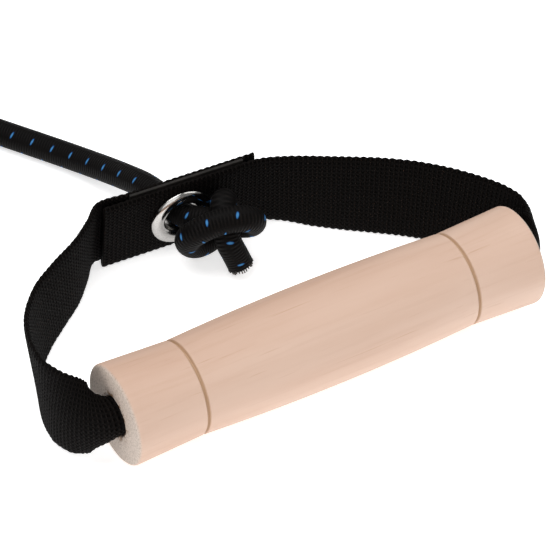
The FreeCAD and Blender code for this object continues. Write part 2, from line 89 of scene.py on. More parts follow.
# %% the grid-to-mesh helper
def grid_mesh(name, points, uv=None, caps=False):
    """closed rows of points joined to the next row by quads; caps fan the first and last row shut"""
    rows, cols = points.shape[:2]
    index = np.arange(rows * cols).reshape(rows, cols)
    beside = np.roll(index, -1, axis=1)
    quads = np.stack([index[:-1], beside[:-1], beside[1:], index[1:]], axis=-1).reshape(-1, 4)
    faces = quads.tolist()
    vertices = points.reshape(-1, 3)
    if caps:
        vertices = np.vstack([vertices, points[0].mean(axis=0), points[-1].mean(axis=0)])
        first, end = rows * cols, rows * cols + 1
        ring0, ring1 = index[0], index[-1]
        faces += np.stack([np.full(cols, first), np.roll(ring0, -1), ring0], axis=-1).tolist()
        faces += np.stack([np.full(cols, end), ring1, np.roll(ring1, -1)], axis=-1).tolist()
    mesh = bpy.data.meshes.new(name)
    mesh.from_pydata(vertices.tolist(), [], faces)
    if uv is not None:
        layer = mesh.uv_layers.new(name="weave")
        corner = np.stack([uv[:-1, :-1], uv[:-1, 1:], uv[1:, 1:], uv[1:, :-1]], axis=2)
        flat = np.zeros((len(mesh.loops), 2))
        flat[:quads.size] = corner.reshape(-1, 2)
        if caps:
            extra = []
            for ring in (uv[0, :cols], uv[-1, :cols]):
                nxt = np.roll(ring, -1, axis=0)
                extra.append(np.stack([ring, nxt, ring], axis=1).reshape(-1, 2))
            flat[quads.size:] = np.vstack(extra)
        layer.data.foreach_set("uv", flat.astype(np.float32).ravel())
    mesh.polygons.foreach_set("use_smooth", np.ones(len(mesh.polygons), bool))
    mesh.validate()
    mesh.update()
    return mesh


def points_of(mesh):
    """the mesh's vertices as rows of x, y, z"""
    co = np.zeros(len(mesh.vertices) * 3)
    mesh.vertices.foreach_get("co", co)
    return co.reshape(-1, 3)


def point_outwards(mesh):
    """turns every face over when the closed mesh's signed volume is negative"""
    co = points_of(mesh)
    mesh.calc_loop_triangles()
    tri = np.zeros(len(mesh.loop_triangles) * 3, int)
    mesh.loop_triangles.foreach_get("vertices", tri)
    tri = tri.reshape(-1, 3)
    volume = np.einsum("ij,ij->i", co[tri[:, 0]], np.cross(co[tri[:, 1]], co[tri[:, 2]])).sum() / 6
    if volume < 0:
        mesh.flip_normals()
    return abs(volume)


def add_piece(name, mesh, material, body):
    """puts a finished mesh in the scene, on its body, with its finish"""
    volume = point_outwards(mesh)
    mesh.materials.append(material)
    piece = bpy.data.objects.new(name, mesh)
    bpy.context.scene.collection.objects.link(piece)
    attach(piece, body)
    print(name, len(mesh.vertices), "points", round(volume * 1e9), "mm3")
    return piece


# %% [markdown]
# Nearly every finish needs small uneven changes, so those are one node group, called speckle: two
# noises, a slow one for cloudy changes of colour and a fine one for grit.  It gives out two values.

# %% node helpers and shared groups
def new_group(name, inputs):
    """a node group with float inputs and two float outputs, Mask and Height"""
    group = bpy.data.node_groups.new(name, "ShaderNodeTree")
    group.interface.new_socket("Vector", in_out="INPUT", socket_type="NodeSocketVector")
    for label, value in inputs:
        item = group.interface.new_socket(label, in_out="INPUT", socket_type="NodeSocketFloat")
        item.default_value = value
    for label in ("Mask", "Height"):
        group.interface.new_socket(label, in_out="OUTPUT", socket_type="NodeSocketFloat")
    return group, group.nodes.new("NodeGroupInput"), group.nodes.new("NodeGroupOutput")


def feed(links, target, value):
    """gives an input its number, its colour or its link"""
    if isinstance(value, (int, float)):
        target.default_value = value
    elif isinstance(value, tuple):
        target.default_value = (*value, 1)
    else:
        links.new(value, target)


def math_maker(nodes, links):
    """a function that adds one Math node, with sockets or numbers as its inputs, to this material"""
    def calc(operation, *values):
        node = nodes.new("ShaderNodeMath")
        node.operation = operation
        for target, value in zip(node.inputs, values):
            feed(links, target, value)
        return node.outputs[0]
    return calc


def mix_color(nodes, links, share, first, second, blend="MIX"):
    """one Mix node for colours, with a share of the second over the first"""
    node = nodes.new("ShaderNodeMix")
    node.data_type = "RGBA"
    node.blend_type = blend
    feed(links, node.inputs["Factor"], share)
    feed(links, node.inputs[6], first)
    feed(links, node.inputs[7], second)
    return node.outputs[2]


def make_speckle():
    """cloudy variation and fine grit from two noises of different size"""
    group, given, out = new_group("speckle", (("Scale", 60.0), ("Fine scale", 900.0)))
    nodes, links = group.nodes, group.links
    for scale, target in (("Scale", "Mask"), ("Fine scale", "Height")):
        noise = nodes.new("ShaderNodeTexNoise")
        noise.inputs["Detail"].default_value = 4.0
        links.new(given.outputs["Vector"], noise.inputs["Vector"])
        links.new(given.outputs[scale], noise.inputs["Scale"])
        links.new(noise.outputs["Fac"], out.inputs[target])
    return group


SPECKLE = make_speckle()


def new_material(name, color, roughness, metallic=0.0):
    """a Principled material with its constants set on the shader itself"""
    material = bpy.data.materials.new(name)
    material.use_nodes = True
    shader = material.node_tree.nodes["Principled BSDF"]
    shader.inputs["Base Color"].default_value = (*color, 1)
    shader.inputs["Roughness"].default_value = roughness
    shader.inputs["Metallic"].default_value = metallic
    return material, material.node_tree.nodes, material.node_tree.links, shader


def place_speckle(nodes, links, vector, scale, fine):
    """the speckle group in one material, with its own sizes"""
    node = nodes.new("ShaderNodeGroup")
    node.node_tree = SPECKLE
    node.inputs["Scale"].default_value = scale
    node.inputs["Fine scale"].default_value = fine
    links.new(vector, node.inputs["Vector"])
    return node


def color_ramp(nodes, links, value, stops):
    """a ColorRamp node from (position, colour) stops"""
    ramp = nodes.new("ShaderNodeValToRGB")
    elements = ramp.color_ramp.elements
    while len(elements) < len(stops):
        elements.new(0.5)
    for element, (position, color) in zip(elements, stops):
        element.position = position
        element.color = (*color, 1)
    links.new(value, ramp.inputs["Fac"])
    return ramp.outputs["Color"]


def bump(nodes, links, shader, height, distance, strength):
    """height into the shader's normal"""
    node = nodes.new("ShaderNodeBump")
    node.inputs["Strength"].default_value = strength
    node.inputs["Distance"].default_value = distance
    links.new(height, node.inputs["Height"])
    links.new(node.outputs["Normal"], shader.inputs["Normal"])


def mottled(name, color, roughness, sizes, tones, height, strength):
    """a plain finish whose colour drifts between two tones and whose grit stands up a little"""
    material, nodes, links, shader = new_material(name, color, roughness)
    where = nodes.new("ShaderNodeTexCoord").outputs["Object"]
    speckle = place_speckle(nodes, links, where, *sizes)
    drift = color_ramp(nodes, links, speckle.outputs["Mask"], tones)
    links.new(drift, shader.inputs["Base Color"])
    bump(nodes, links, shader, speckle.outputs["Height"], height, strength)
    return material, shader


# %% [markdown]
# Bare beech is pale with a pink cast.  Its grain runs along the turning, so the noise is stretched
# along X: slow broad bands, a few darker streaks, and the short dark flecks beech is known for.  The
# end faces show the same wood cut across, which is greyer, and the turned lines are coloured a darker tan.

# %% the beech finish
def make_beech():
    """stretched noises for the wood's bands, streaks and flecks, then end grain, darker tan turned lines
    and nicks
    """
    material, nodes, links, shader = new_material("beech", (0.80, 0.62, 0.49), 0.55)
    calc = math_maker(nodes, links)
    where = nodes.new("ShaderNodeTexCoord").outputs["Object"]

    def stretched(scale_x, noise_scale, detail, rough=0.5):
        """a noise drawn out along the grip, the more so the smaller scale_x is"""
        mapping = nodes.new("ShaderNodeMapping")
        mapping.inputs["Scale"].default_value = (scale_x, 1, 1)
        links.new(where, mapping.inputs["Vector"])
        noise = nodes.new("ShaderNodeTexNoise")
        noise.inputs["Scale"].default_value = noise_scale
        noise.inputs["Detail"].default_value = detail
        noise.inputs["Roughness"].default_value = rough
        links.new(mapping.outputs["Vector"], noise.inputs["Vector"])
        return noise.outputs["Fac"]

    broad = stretched(0.10, 80, 3)
    streak = stretched(0.035, 500, 5, 0.6)
    line = stretched(0.022, 1300, 2)
    color = color_ramp(nodes, links, broad, (
        (0.30, (0.560, 0.372, 0.278)), (0.50, (0.610, 0.425, 0.328)), (0.72, (0.650, 0.472, 0.376))))
    dark = color_ramp(nodes, links, streak, (
        (0.30, (0.95, 0.925, 0.905)), (0.48, (1, 1, 1)), (1.0, (1, 1, 1))))
    dots = color_ramp(nodes, links, line, (
        (0.24, (0.86, 0.79, 0.73)), (0.34, (1, 1, 1)), (1.0, (1, 1, 1))))
    for layer in (dark, dots):
        color = mix_color(nodes, links, 0.8, color, layer, "MULTIPLY")
    # The attribute "cut" marks end grain in X, the darker tan of the turned lines in Y and the torn rim of
    # the hole in Z.
    marks = nodes.new("ShaderNodeAttribute")
    marks.attribute_name = "cut"
    split = nodes.new("ShaderNodeSeparateXYZ")
    links.new(marks.outputs["Vector"], split.inputs[0])
    grit = place_speckle(nodes, links, where, 700, 1900)
    pores = color_ramp(nodes, links, grit.outputs["Height"], (
        (0.36, (0.330, 0.265, 0.215)), (0.47, (0.500, 0.420, 0.360)), (0.70, (0.600, 0.520, 0.455))))
    torn = calc("GREATER_THAN", grit.outputs["Mask"], 0.545)
    nicks = calc("MULTIPLY", torn, split.outputs["Z"])
    for share, tint in ((split.outputs["X"], pores), (split.outputs["Y"], (0.43, 0.27, 0.15)),
                        (nicks, (0.20, 0.105, 0.05))):
        color = mix_color(nodes, links, share, color, tint)
    links.new(color, shader.inputs["Base Color"])
    height = calc("ADD", streak, calc("MULTIPLY", line, 0.5))
    bump(nodes, links, shader, height, 0.00008, 0.4)
    return material


BEECH = make_beech()

# %% [markdown]
# The grip is one turning, so it is a profile of radius against length carried round its axis: a
# barrel between two turned lines, straight flares to the ends, rounded end edges and the hole.

# %% the grip
LINE_AT, HALF_LENGTH = 44.0, 66.0  # millimetres from the grip's middle to a turned line and to an end


def grip_profile():
    """points (along, radius) in millimetres, from the middle out over one half and back in the hole"""
    bore, end, waist, middle = 6.0, 14.9, 13.95, 15.15
    line, edge, mouth, half = LINE_AT, 1.1, 0.7, HALF_LENGTH
    barrel = (line ** 2 + (middle - waist) ** 2) / (2 * (middle - waist))
    outer_x = np.concatenate([np.linspace(0, line - 1.2, 60), np.linspace(line - 1.1, line + 1.1, 23),
                              np.linspace(line + 1.2, half - edge, 30)])
    curve = middle - barrel + np.sqrt(barrel ** 2 - np.minimum(outer_x, line) ** 2)
    flare = waist + (end - waist) * np.clip((outer_x - line) / (half - line), 0, 1)
    radius = np.where(outer_x <= line, curve, flare)
    radius = radius - 0.8 * np.exp(-((outer_x - line) / 0.42) ** 4)
    turn = np.linspace(0, math.pi / 2, 10)[1:]
    edge_x = half - edge + edge * np.sin(turn)
    edge_r = radius[-1] - edge + edge * np.cos(turn)
    face_r = np.linspace(edge_r[-1], bore + mouth, 14)[1:]
    back = np.linspace(0, math.pi / 2, 8)[1:]
    mouth_x = half - mouth + mouth * np.cos(back)
    mouth_r = bore + mouth - mouth * np.sin(back)
    hole_x = np.linspace(half - mouth, 0, 24)[1:]
    x = np.concatenate([outer_x, edge_x, np.full(13, half), mouth_x, hole_x])
    r = np.concatenate([radius, edge_r, face_r, mouth_r, np.full(23, bore)])
    return x, r


def make_grip():
    """the half profile mirrored to a closed loop, then turned about the axis in 160 steps"""
    x, r = grip_profile()
    x = np.concatenate([x, -x[::-1][1:-1]])
    r = np.concatenate([r, r[::-1][1:-1]])
    angle = np.linspace(0, 2 * math.pi, 161)[:-1]
    # The hole's rim is a little chipped, so its radius wanders where the mouth is rounded.
    near_end = HALF_LENGTH - 0.8
    rim = np.exp(-((r - 6.6) / 0.5) ** 2) * (np.abs(x) > near_end)
    chip = 0.22 * np.sin(3 * angle + 1.0) * np.sin(7 * angle + 0.4)
    wander = np.clip(chip, 0, None)[:, None] * rim[None, :]
    radius = (r[None, :] + wander) / 1000
    points = np.stack([np.broadcast_to(x[None, :] / 1000 + GRIP_FOOT[0], radius.shape),
                       radius * np.cos(angle)[:, None] + GRIP_FOOT[1],
                       radius * np.sin(angle)[:, None] + AXIS_HEIGHT], axis=-1)
    points = np.concatenate([points, points[:1]])
    mesh = grid_mesh("grip_turning", points)
    merge_seam(mesh)
    # How each point is marked follows from where it is: distance along from the middle, and radius.
    place = (points_of(mesh) - GRIP_FOOT - [0, 0, AXIS_HEIGHT]) * 1000
    along, out = np.abs(place[:, 0]), np.hypot(place[:, 1], place[:, 2])
    end_grain = np.clip((along - 65.3) / 0.6, 0, 1) * 0.9
    # the turned lines are coloured a darker tan, on the outside only
    groove_tint = np.exp(-((along - LINE_AT) / 0.55) ** 4) * (out > 10) * 0.8
    rim_mark = np.exp(-((out - 6.8) / 1.0) ** 2) * (along > near_end)
    marks = np.stack([end_grain, groove_tint, rim_mark], axis=1)
    cut = mesh.attributes.new("cut", "FLOAT_VECTOR", "POINT")
    cut.data.foreach_set("vector", marks.astype(np.float32).ravel())
    return mesh


def merge_seam(mesh):
    """joins points that lie on each other, so that a surface wrapped right round is closed"""
    work = bmesh.new()
    work.from_mesh(mesh)
    bmesh.ops.remove_doubles(work, verts=work.verts, dist=1e-7)
    work.to_mesh(mesh)
    work.free()


grip = add_piece("grip_turning", make_grip(), BEECH, "grip")
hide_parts("wooden_grip")

# %% [markdown]
# Webbing is a narrow woven strip: hard-packed cross threads stand up as ribs, and the lengthwise
# yarns cover them in small ovals.  The pattern follows the strip, so it reads the UV map in metres.

# %% the webbing finish
RIB_PITCH, YARN_PITCH = 0.0014, 0.0013


def make_webbing():
    """ribs along the strip times yarns across it, plus the ribs again, for both colour and height"""
    material, nodes, links, shader = new_material("webbing", (0.005, 0.004, 0.004), 0.7)
    calc = math_maker(nodes, links)
    shader.inputs["Specular IOR Level"].default_value = 0.05
    uv = nodes.new("ShaderNodeUVMap")
    uv.uv_map = "weave"
    split = nodes.new("ShaderNodeSeparateXYZ")
    links.new(uv.outputs["UV"], split.inputs[0])
    along, across = split.outputs["X"], split.outputs["Y"]
    rib = calc("SINE", calc("MULTIPLY", along, 2 * math.pi / RIB_PITCH))
    yarn = calc("SINE", calc("MULTIPLY", across, 2 * math.pi / YARN_PITCH))
    both = calc("MULTIPLY_ADD", rib, yarn, rib)
    speckle = place_speckle(nodes, links, uv.outputs["UV"], 260, 2600)
    weave = calc("ADD", both, calc("MULTIPLY", speckle.outputs["Height"], 0.35))
    color = color_ramp(nodes, links, calc("MULTIPLY_ADD", weave, 0.22, 0.35), (
        (0.10, (0.0014, 0.0011, 0.0010)), (0.55, (0.0042, 0.0031, 0.0027)),
        (0.95, (0.0125, 0.0095, 0.0082))))
    links.new(color, shader.inputs["Base Color"])
    bump(nodes, links, shader, weave, 0.00026, 0.9)
    return material


WEBBING = make_webbing()

# %% [markdown]
# The strip is one ribbon.  It starts at the cut end in front, runs round the right of the loop into
# the grip, through the hole and out, and back round the left to the cut end behind.  At each place
# the ribbon has a middle point, a direction, a lean and a curl, because it folds to enter the hole.

# %% the ribbon's route
# x, y, z in millimetres from the grip's foot; lean outwards in degrees; curl from 0 flat to 1 folded
LEFT_STATIONS = np.array([
    (-70.2, -3.8, 15.0, -5, 0.62), (-73.9, -0.1, 14.7, -12, 0.34), (-76.5, 5.6, 14.2, -12, 0.16),
    (-77.6, 12.2, 13.6, -7, 0.05), (-77.3, 20.4, 13.1, 1, 0.0), (-75.0, 29.0, 12.9, 6, 0.0),
    (-71.0, 38.5, 12.8, 6, 0.0), (-63.6, 47.2, 12.8, 6, 0.0), (-54.6, 54.0, 12.8, 3, 0.0),
    (-45.8, 60.0, 12.8, -1, 0.0), (-38.8, 66.5, 12.8, -5, 0.0)])
RIGHT_STATIONS = np.array([
    (69.9, -3.6, 15.0, 0, 0.62), (72.3, -0.4, 14.6, 3, 0.34), (73.2, 4.8, 14.0, 6, 0.16),
    (72.4, 11.2, 13.5, 9, 0.05), (69.9, 17.6, 13.1, 11, 0.0), (66.0, 24.5, 12.9, 12, 0.0),
    (60.8, 31.8, 12.8, 12, 0.0), (54.2, 38.8, 12.8, 12, 0.0), (46.5, 45.2, 12.8, 11, 0.0),
    (38.6, 51.0, 12.8, 8, 0.0), (31.2, 56.6, 12.8, 4, 0.0), (24.6, 61.8, 12.8, -2, 0.0),
    (17.6, 65.6, 12.8, -6, 0.0)])
FOLD = 0.0047  # radius of the fully curled strip inside the grip, in metres
FRONT_DEPTH, BACK_DEPTH = 0.9, 3.5  # millimetres from the lap's front to the middle of each layer
LAP_MIDDLE = 12.5  # millimetres from the lap's lower edge to the middle of the strip


def smooth_path(points, extras, step):
    """a curve through points with each tangent taken from its neighbours, resampled at equal steps"""
    gaps = np.linalg.norm(np.diff(points, axis=0), axis=1)
    at = np.concatenate([[0], np.cumsum(gaps)])
    slope = np.zeros_like(points)
    slope[1:-1] = (points[2:] - points[:-2]) / (at[2:] - at[:-2])[:, None]
    slope[0], slope[-1] = (points[1] - points[0]) / gaps[0], (points[-1] - points[-2]) / gaps[-1]
    want = np.linspace(0, at[-1], int(at[-1] / step) + 1)
    k = np.clip(np.searchsorted(at, want, side="right") - 1, 0, len(gaps) - 1)
    t = ((want - at[k]) / gaps[k])[:, None]
    width = gaps[k][:, None]
    place = ((2 * t ** 3 - 3 * t ** 2 + 1) * points[k] + (t ** 3 - 2 * t ** 2 + t) * width * slope[k]
             + (3 * t ** 2 - 2 * t ** 3) * points[k + 1] + (t ** 3 - t ** 2) * width * slope[k + 1])
    other = [np.interp(want, at, extra) for extra in extras]
    return place, other, want


def ribbon_route(step):
    """middle points, side direction, lean and curl of the whole strip, cut end to cut end"""
    def arm(stations):
        """the stations' places in the frame, their leans and their curls"""
        return np.array([from_grip(*row[:3]) for row in stations]), stations[:, 3], stations[:, 4]

    right, right_lean, right_curl = arm(RIGHT_STATIONS[::-1])
    left, left_lean, left_curl = arm(LEFT_STATIONS)
    front_u = np.array([-24.8, -16.0, -8.0, 0.0, 8.0, 17.2])
    front = np.array([on_lap(u, FRONT_DEPTH, LAP_MIDDLE) for u in front_u])
    back_u = np.array([-25.9, -16.0, -8.0, 0.0, 8.0, 16.0, 24.7])
    back = np.array([on_lap(u, BACK_DEPTH, LAP_MIDDLE) for u in back_u])
    tunnel_x = np.array([66.0, 44.0, 22.0, 0.0, -22.0, -44.0, -66.0])
    tunnel = np.array([from_grip(x, -4.7, 15.15) for x in tunnel_x])
    points = np.vstack([front, right, tunnel, left, back])
    tilt = -math.degrees(LAP_TILT)
    lean = np.concatenate([np.full(6, tilt), right_lean, np.zeros(7), left_lean, np.full(7, tilt)])
    curl = np.concatenate([np.zeros(6), right_curl, np.ones(7), left_curl, np.zeros(7)])
    place, (lean, curl), at = smooth_path(points, (lean, curl), step)
    return place, np.radians(lean), curl, at


# %% the ribbon's cross-section and mesh
def ribbon_mesh(name):
    """at each step, an arc of the strip's width curled by its curl, thick between two faces"""
    place, lean, curl, at = ribbon_route(0.00033)
    heading = np.gradient(place, axis=0)
    heading[:, 2] = 0
    heading = unit(heading)
    # The strip goes round the loop clockwise seen from above, so its outside is on the left of travel.
    outward = np.stack([-heading[:, 1], heading[:, 0], np.zeros(len(heading))], axis=1)
    facing = np.array([0.0, -1.0, 0.0]) * np.ones((len(heading), 1))
    share = np.clip(1.5 * curl, 0, 1)[:, None]
    outward = unit(outward * (1 - share) + facing * share)
    up = np.array([0.0, 0.0, 1.0])
    rise = up * np.cos(lean)[:, None] + outward * np.sin(lean)[:, None]
    out = outward * np.cos(lean)[:, None] - up * np.sin(lean)[:, None]
    bend = np.maximum(curl, 0.001)[:, None] / FOLD
    count = 34
    across = np.linspace(-0.5, 0.5, count)
    # The woven edge stands out in small scallops where the cross thread turns back.
    scallop_pitch, scallop_depth = 0.0021, 0.0004
    edge = scallop_depth * (np.abs(np.sin(at * math.pi / scallop_pitch))[:, None] - 0.5)
    pull = np.sign(across) * np.clip((np.abs(across) - 0.44) / 0.06, 0, 1)
    ribs = 0.00009 * np.cos(at * 2 * math.pi / RIB_PITCH)[:, None]
    faces = []
    for side in (1, -1):
        spread = (across * WEB_WIDTH)[None, :] + edge * pull[None, :]
        turn = bend * spread
        slim = WEB_THICK / 2 * np.sqrt(np.clip(1 - (np.abs(across) / 0.5) ** 14, 0.10, 1))[None, :]
        lift = side * (slim + ribs * (np.abs(across) < 0.47)[None, :])
        normal = out[:, None, :] * np.cos(turn)[..., None] + rise[:, None, :] * np.sin(turn)[..., None]
        middle = (place[:, None, :] + rise[:, None, :] * (np.sin(turn) / bend)[..., None]
                  - out[:, None, :] * ((1 - np.cos(turn)) / bend)[..., None])
        faces.append(middle + normal * lift[..., None])
    loop = np.concatenate([faces[0], faces[1][:, ::-1]], axis=1)
    v = np.concatenate([across, across[::-1] + 0.001, across[:1]]) * WEB_WIDTH
    uv = np.stack([np.broadcast_to(at[:, None], (len(at), len(v))),
                   np.broadcast_to(v[None, :], (len(at), len(v)))], axis=-1)
    print("strip length", round(at[-1] * 1000, 1), "mm in", len(at), "steps")
    return grid_mesh(name, loop, uv, caps=True), at[-1]


# %% [markdown]
# The eyelet needs a hole through both layers of the lap.  On the real strap it is punched, and here
# a Boolean modifier takes a round peg away from the strip, which keeps the mesh closed and its UV map.

# %% punching the eyelet's hole
def punch(mesh, radius, start, end):
    """the mesh without a round peg that stands on the eyelet's axis, in millimetres"""
    angle = np.linspace(0, 2 * math.pi, 65)[:-1]
    ring = LAP_U * np.cos(angle)[:, None] + LAP_H * np.sin(angle)[:, None]
    peg_points = np.stack([on_lap(0, depth, EYELET_UP) + ring * radius / 1000 for depth in (start, end)])
    peg_mesh = grid_mesh("peg", peg_points, caps=True)
    point_outwards(peg_mesh)
    point_outwards(mesh)
    peg, strip = bpy.data.objects.new("peg", peg_mesh), bpy.data.objects.new("strip", mesh)
    for item in (peg, strip):
        bpy.context.scene.collection.objects.link(item)
    cut = strip.modifiers.new("hole", "BOOLEAN")
    cut.operation, cut.object, cut.solver = "DIFFERENCE", peg, "EXACT"
    view = bpy.context.evaluated_depsgraph_get()
    punched = bpy.data.meshes.new_from_object(strip.evaluated_get(view))
    punched.name = mesh.name
    print("hole punched:", len(mesh.vertices), "points before,", len(punched.vertices), "after")
    for item in (peg, strip):
        bpy.data.objects.remove(item)
    return punched


HOLE_RADIUS = 5.65  # millimetres, a little inside the barrel's outer wall
strip_mesh, STRAP_LENGTH = ribbon_mesh("webbing_strap")
strap_mesh = punch(strip_mesh, HOLE_RADIUS, start=-3.0, end=8.0)
bpy.data.meshes.remove(strip_mesh)
strap = add_piece("webbing_strap", strap_mesh, WEBBING, "strap")
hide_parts("strap_inner_run", "strap_left_side", "strap_right_side",
            "strap_front_end", "strap_back_end")

# %% [markdown]
# A thin stiffener plate lies between the two layers, and only its edge shows.  Its tone, a little
# lighter than the webbing, is a painted highlight along the lap's top edge.

# %% the stiffener finish
def make_stiffener_painted_highlight():
    """dull black sheet, a little lighter than the webbing, which paints a highlight line along the lap's
    edge
    """
    # these tones, lighter than the webbing, are a painted highlight along the lap's top edge
    tones = (0.30, (0.010, 0.009, 0.008)), (0.70, (0.022, 0.019, 0.017))
    material, shader = mottled("stiffener", (0.014, 0.012, 0.011), 0.6, (300, 2200), tones, 0.00005, 0.5)
    shader.inputs["Specular IOR Level"].default_value = 0.2
    return material


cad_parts["lap_stiffener"].data.materials.clear()
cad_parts["lap_stiffener"].data.materials.append(make_stiffener_painted_highlight())

# %% [markdown]
# The eyelet is pressed from thin plate and nickel plated: a domed flange that rolls into the hole.
# Plating keeps faint turning marks and small scratches, which blur its reflections unevenly.

# %% the nickel finish
def make_nickel():
    """plated metal whose roughness follows a slow noise"""
    material, nodes, links, shader = new_material("nickel", (0.50, 0.485, 0.465), 0.18, 1.0)
    where = nodes.new("ShaderNodeTexCoord").outputs["Object"]
    speckle = place_speckle(nodes, links, where, 160, 2400)
    rough = nodes.new("ShaderNodeMapRange")
    rough.inputs["From Min"].default_value = 0.3
    rough.inputs["From Max"].default_value = 0.7
    rough.inputs["To Min"].default_value = 0.10
    rough.inputs["To Max"].default_value = 0.22
    links.new(speckle.outputs["Mask"], rough.inputs["Value"])
    links.new(rough.outputs["Result"], shader.inputs["Roughness"])
    color = color_ramp(nodes, links, speckle.outputs["Height"], (
        (0.30, (0.40, 0.39, 0.375)), (0.60, (0.52, 0.505, 0.485))))
    links.new(color, shader.inputs["Base Color"])
    bump(nodes, links, shader, speckle.outputs["Mask"], 0.00010, 0.15)
    return material


NICKEL = make_nickel()

# %% the eyelet and washer, as profiles turned round the hole's axis
def ring_mesh(name, depth, radius):
    """a closed profile of (depth, radius) in millimetres turned about the eyelet's axis"""
    angle = np.linspace(0, 2 * math.pi, 97)
    centre = on_lap(0, 0, EYELET_UP)
    r = radius[None, :] / 1000
    points = (centre + LAP_N * (depth / 1000)[None, :, None]
              + LAP_U * (r * np.cos(angle)[:, None])[..., None]
              + LAP_H * (r * np.sin(angle)[:, None])[..., None])
    mesh = grid_mesh(name, points)
    merge_seam(mesh)
    return mesh


def eyelet_profile():
    """domed flange, roll into the hole, barrel wall, and the end rolled over the washer"""
    dome = np.linspace(0, math.pi, 26)
    rim_depth, rim_radius = -1.7 * np.sin(dome) ** 0.9, 7.7 + 2.3 * np.cos(dome)
    roll = np.linspace(0, math.pi / 2, 8)[1:]
    depth = np.concatenate([rim_depth, 1.2 * np.sin(roll), [2.5, 4.2], [5.4, 5.7, 5.3, 5.2], [4.4, 0.0]])
    radius = np.concatenate([rim_radius, 5.4 - 0.3 * np.sin(roll), [5.1, 5.1], [5.4, 6.1, 6.8, 6.7],
                             [5.7, 5.7]])
    return depth, radius


eyelet = add_piece("eyelet", ring_mesh("eyelet", *eyelet_profile()), NICKEL, "strap")
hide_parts("eyelet_barrel")
washer_depth = np.array([4.4, 4.4, 4.7, 5.1, 5.2, 5.2])
washer_radius = np.array([5.75, 9.4, 9.6, 9.4, 9.1, 5.75])
washer = add_piece("eyelet_back_washer", ring_mesh("eyelet_back_washer", washer_depth, washer_radius),
                   NICKEL, "strap")
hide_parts("eyelet_washer")

# %% [markdown]
# The cord's sheath is a fine braid.  Blue tracer threads surface for a moment and dive again, so
# they show as short flecks in four rows round the cord, each row offset from the next.  The flecks
# lie across the cord.  The UV map gives metres along the cord and the turn round it.

# %% the sheath finish
# Pitches, slant and half width are in metres along the cord.  The starts and rows count threads round
# it, and the half length is a share of one row.
BRAID_PITCH, BRAID_STARTS = 0.0009, 3.0
FLECK_ROWS, FLECK_PITCH, FLECK_SLANT = 4.0, 0.0072, 0.0011
FLECK_HALF_WIDTH, FLECK_HALF_LENGTH = 0.0004, 0.21


def make_sheath():
    """two leaning families of ribs for the braid, and an oval fleck in each cell of four rows"""
    material, nodes, links, shader = new_material("sheath", (0.007, 0.0065, 0.007), 0.6)
    calc = math_maker(nodes, links)
    shader.inputs["Specular IOR Level"].default_value = 0.06
    uv = nodes.new("ShaderNodeUVMap")
    uv.uv_map = "weave"
    split = nodes.new("ShaderNodeSeparateXYZ")
    links.new(uv.outputs["UV"], split.inputs[0])
    along, around = split.outputs["X"], split.outputs["Y"]
    # braid: the sum of two families of ribs that lean opposite ways
    waves = []
    for lean in ("ADD", "SUBTRACT"):
        ribs = calc(lean, calc("MULTIPLY", along, 1 / BRAID_PITCH), calc("MULTIPLY", around, BRAID_STARTS))
        waves.append(calc("SINE", calc("MULTIPLY", ribs, 2 * math.pi)))
    braid = calc("ADD", *waves)
    # flecks: a cell per tracer, each row half a cell on from the last, with a place in it from -0.5 to 0.5
    row = calc("MULTIPLY", around, FLECK_ROWS)
    shifted = calc("ADD", calc("MULTIPLY", along, 1 / FLECK_PITCH),
                   calc("MULTIPLY", calc("FLOOR", row), 0.5))
    cell_along = calc("SUBTRACT", calc("FRACT", shifted), 0.5)
    cell_around = calc("SUBTRACT", calc("FRACT", row), 0.5)
    # the mask is one less the squares of both distances, so an oval, long round the cord
    slant = calc("ADD", calc("MULTIPLY", cell_along, FLECK_PITCH),
                 calc("MULTIPLY", cell_around, FLECK_SLANT))
    short = calc("POWER", calc("ABSOLUTE", calc("MULTIPLY", slant, 1 / FLECK_HALF_WIDTH)), 2.0)
    tall = calc("POWER", calc("ABSOLUTE", calc("MULTIPLY", cell_around, 1 / FLECK_HALF_LENGTH)), 2.0)
    inside = calc("SUBTRACT", 1.0, calc("ADD", short, tall))
    mask = calc("MULTIPLY", inside, 2.2)
    mask.node.use_clamp = True
    black = color_ramp(nodes, links, calc("MULTIPLY_ADD", braid, 0.2, 0.5), (
        (0.05, (0.0016, 0.0014, 0.0014)), (0.60, (0.0042, 0.0036, 0.0035)),
        (0.95, (0.0090, 0.0078, 0.0074))))
    blue = color_ramp(nodes, links, inside, (
        (0.05, (0.006, 0.030, 0.110)), (0.45, (0.016, 0.100, 0.300)), (0.85, (0.060, 0.220, 0.450))))
    links.new(mix_color(nodes, links, mask, black, blue), shader.inputs["Base Color"])
    height = calc("ADD", braid, calc("MULTIPLY", mask, 1.5))
    bump(nodes, links, shader, height, 0.00010, 0.6)
    return material


SHEATH = make_sheath()

# %% [markdown]
# A cord is a route and a thickness.  The route is a NURBS curve led by given points, drawn
# without thickness and read back, and the tube is a circle carried along it.  The circle is turned
# as little as possible from one step to the next, so that the braid doesn't twist.

# %% reading a route back and sweeping a tube
def nurbs_line(points):
    """the route of a NURBS curve of order 3 through its control points, as an array of points"""
    curve = bpy.data.curves.new("route", "CURVE")
    curve.dimensions = "3D"
    curve.resolution_u = 10
    spline = curve.splines.new("NURBS")
    spline.points.add(len(points) - 1)
    flat = np.concatenate([np.array(points), np.ones((len(points), 1))], axis=1)
    spline.points.foreach_set("co", flat.astype(np.float32).ravel())
    spline.order_u = 3
    spline.use_endpoint_u = True
    holder = bpy.data.objects.new("route", curve)
    bpy.context.scene.collection.objects.link(holder)
    line = bpy.data.meshes.new_from_object(holder)
    route = points_of(line)
    bpy.data.objects.remove(holder)
    bpy.data.meshes.remove(line)
    bpy.data.curves.remove(curve)
    return route


